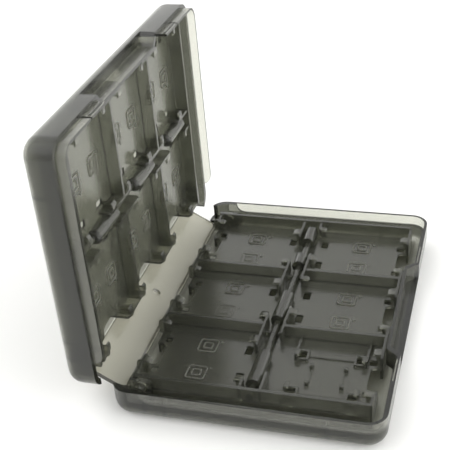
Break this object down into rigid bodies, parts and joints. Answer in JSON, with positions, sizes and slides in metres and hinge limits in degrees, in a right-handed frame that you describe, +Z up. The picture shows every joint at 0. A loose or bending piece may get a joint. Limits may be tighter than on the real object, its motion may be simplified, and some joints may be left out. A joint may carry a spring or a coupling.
{
  "type": "game card case",
  "caption": "Folding translucent plastic case with card trays in both halves, hinged to a loose spine plate; one cell holds memory cards instead.",
  "frame": {"origin": "middle of the base's flat underside", "axes": "+X from the hinges to the base's free edge, +Y along the hinges, +Z up from the table"},
  "size_m": [0.1186, 0.1396, 0.1126],
  "materials": {
    "smoke_shell": "satin translucent smoke grey",
    "smoke_tray": "semi-gloss translucent smoke grey with an olive tint",
    "smoke_spine": "satin translucent smoke grey, pale where it is thin"
  },
  "bodies": {
    "base": {"base_shell": "smoke_shell", "base_tray": "smoke_tray"},
    "spine": {"spine": "smoke_spine"},
    "lid": {"lid_shell": "smoke_shell", "lid_tray": "smoke_tray"}
  },
  "joints": [
    {"name": "spine_hinge", "type": "hinge", "parent": "base", "child": "spine", "pos_m": [-0.0489, 0, 0.0046], "axis": [0, 1, 0], "range_deg": [-30, 60]},
    {"name": "lid_hinge", "type": "hinge", "parent": "spine", "child": "lid", "pos_m": [-0.06302, 0, 0.01275], "axis": [0, 1, 0], "range_deg": [-60, 30]}
  ]
}
